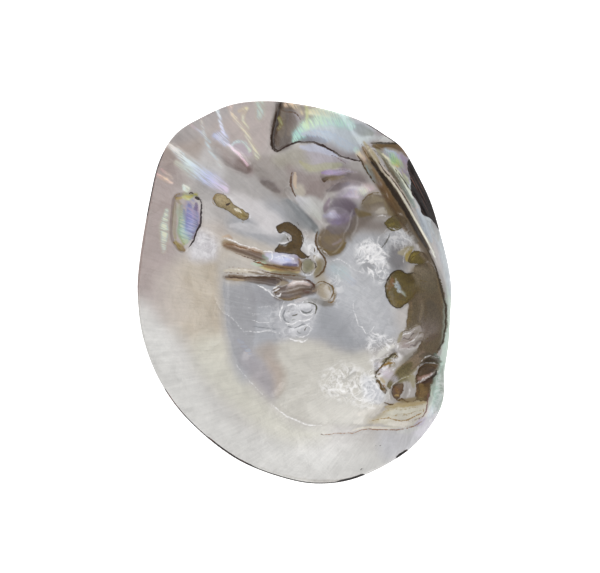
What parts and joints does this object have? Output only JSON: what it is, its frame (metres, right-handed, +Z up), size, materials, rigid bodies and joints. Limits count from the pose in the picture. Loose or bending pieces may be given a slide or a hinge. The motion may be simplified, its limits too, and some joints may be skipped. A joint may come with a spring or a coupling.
{
  "type": "pearl oyster shell",
  "caption": "one polished valve of a pearl-bearing mussel, lying hollow side up, with blister pearls, hinge teeth and scars",
  "frame": {"origin": "centre of the bounding box in X and Y, at the underside in Z, where the valve rests on a table", "axes": "+Z up, out of the pearly hollow; +Y along the valve's longest extent, towards its posterior end; +X towards the hinge"},
  "size_m": [0.1382, 0.168, 0.0339],
  "materials": {
    "nacre": "polished"
  },
  "bodies": {
    "root": {"shell_valve": "nacre"}
  },
  "joints": []
}
